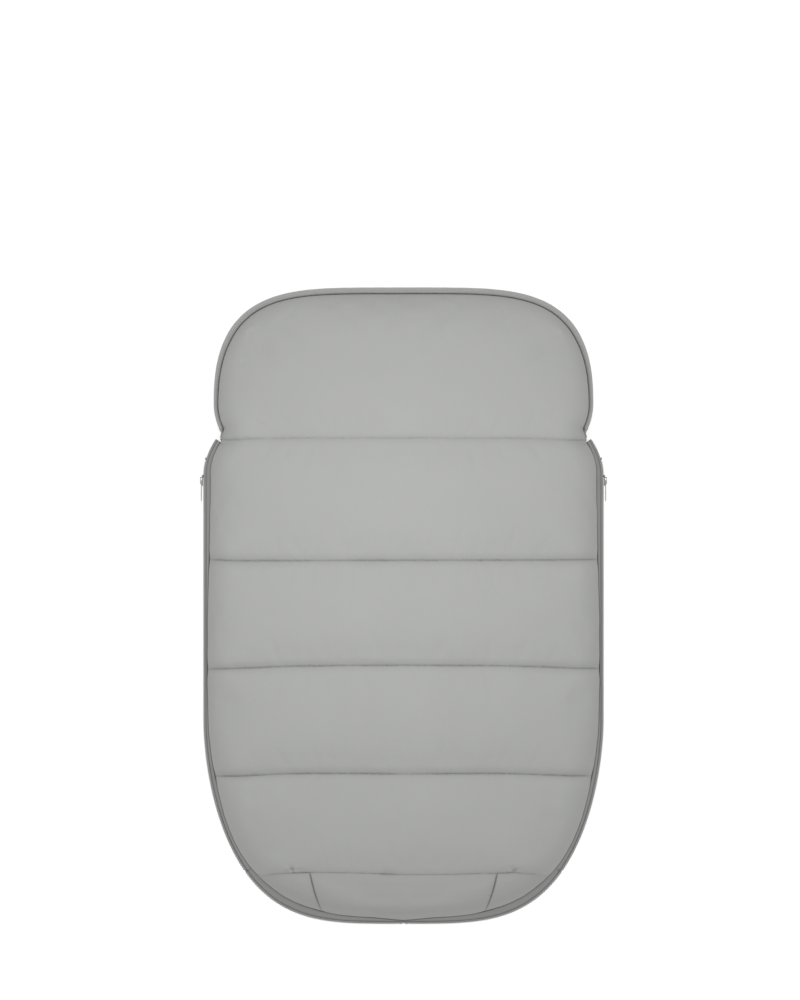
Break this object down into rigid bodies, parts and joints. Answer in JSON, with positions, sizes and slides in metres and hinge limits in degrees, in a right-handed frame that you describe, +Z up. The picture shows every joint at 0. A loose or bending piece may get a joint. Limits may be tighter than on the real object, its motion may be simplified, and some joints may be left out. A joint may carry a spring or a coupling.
{
  "type": "stroller footmuff",
  "caption": "Quilted stroller footmuff with a zip-off front cover, fold-back collar, fixed foot cap and padded back mat with harness slots.",
  "frame": {"origin": "middle of the footprint, on the floor under the back mat", "axes": "+Z up out of the cover, +Y toward the head end, -Y toward the foot end, X across; the bag lies on its back"},
  "size_m": [0.5092, 0.7962, 0.104],
  "materials": {
    "outer_cloth": "matte",
    "foot_cloth": "matte",
    "piping_cloth": "matte",
    "lining_cloth": "matte",
    "wadding": "matte",
    "zip_tape": "matte",
    "zip_teeth": "satin",
    "zip_stop": "satin",
    "slider_metal": "satin",
    "grip_rubber": "matte",
    "strap_webbing": "matte"
  },
  "bodies": {
    "mat": {"mat_back_shell": "outer_cloth", "mat_wadding": "wadding", "mat_lining": "lining_cloth", "anti_slip_panel_upper": "grip_rubber", "anti_slip_panel_lower": "grip_rubber", "back_strap": "strap_webbing", "slot_binding_shoulder_upper_left": "zip_tape", "slot_binding_shoulder_lower_left": "zip_tape", "slot_binding_waist_left": "zip_tape", "slot_binding_shoulder_upper_right": "zip_tape", "slot_binding_shoulder_lower_right": "zip_tape", "slot_binding_waist_right": "zip_tape", "slot_binding_crotch": "zip_tape", "zip_tape_mat_left": "zip_tape", "zip_teeth_mat_left": "zip_teeth", "top_stop_mat_left": "zip_stop", "bottom_stop_left": "zip_stop", "foot_zip_tape_left": "zip_tape", "foot_zip_teeth_left": "zip_teeth", "foot_gusset_left": "foot_cloth", "zip_tape_mat_right": "zip_tape", "zip_teeth_mat_right": "zip_teeth", "top_stop_mat_right": "zip_stop", "bottom_stop_right": "zip_stop", "foot_zip_tape_right": "zip_tape", "foot_zip_teeth_right": "zip_teeth", "foot_gusset_right": "foot_cloth", "foot_panel_shell": "foot_cloth", "foot_wadding": "wadding", "foot_lining": "lining_cloth"},
    "cover": {"cover_shell": "outer_cloth", "cover_lining": "lining_cloth", "channel_fill_1": "wadding", "channel_fill_2": "wadding", "channel_fill_3": "wadding", "channel_fill_4": "wadding", "zip_tape_cover_left": "zip_tape", "zip_teeth_cover_left": "zip_teeth", "top_stop_cover_left": "zip_stop", "zip_tape_cover_right": "zip_tape", "zip_teeth_cover_right": "zip_teeth", "top_stop_cover_right": "zip_stop"},
    "collar": {"collar_shell": "outer_cloth", "collar_wadding": "wadding", "collar_lining": "lining_cloth", "collar_piping": "piping_cloth"},
    "slider_left_body": {"slider_left": "slider_metal"},
    "pull_left_body": {"pull_left": "slider_metal"},
    "slider_right_body": {"slider_right": "slider_metal"},
    "pull_right_body": {"pull_right": "slider_metal"}
  },
  "joints": [
    {"name": "cover_open", "type": "hinge", "parent": "mat", "child": "cover", "pos_m": [0, -0.3325, 0.096], "axis": [1, 0, 0], "range_deg": [0, 140]},
    {"name": "collar_fold", "type": "hinge", "parent": "cover", "child": "collar", "pos_m": [0, 0.21, 0.101], "axis": [1, 0, 0], "range_deg": [0, 150]},
    {"name": "slider_left_slide", "type": "slide", "parent": "mat", "child": "slider_left_body", "axis": [0, -1, 0], "range_m": [0, 0.29]},
    {"name": "pull_left_swing", "type": "hinge", "parent": "slider_left_body", "child": "pull_left_body", "pos_m": [-0.253, 0.157, 0.034], "axis": [0, 0, -1], "range_deg": [0, 160]},
    {"name": "slider_right_slide", "type": "slide", "parent": "mat", "child": "slider_right_body", "axis": [0, -1, 0], "range_m": [0, 0.29]},
    {"name": "pull_right_swing", "type": "hinge", "parent": "slider_right_body", "child": "pull_right_body", "pos_m": [0.253, 0.157, 0.034], "axis": [0, 0, 1], "range_deg": [0, 160]}
  ]
}
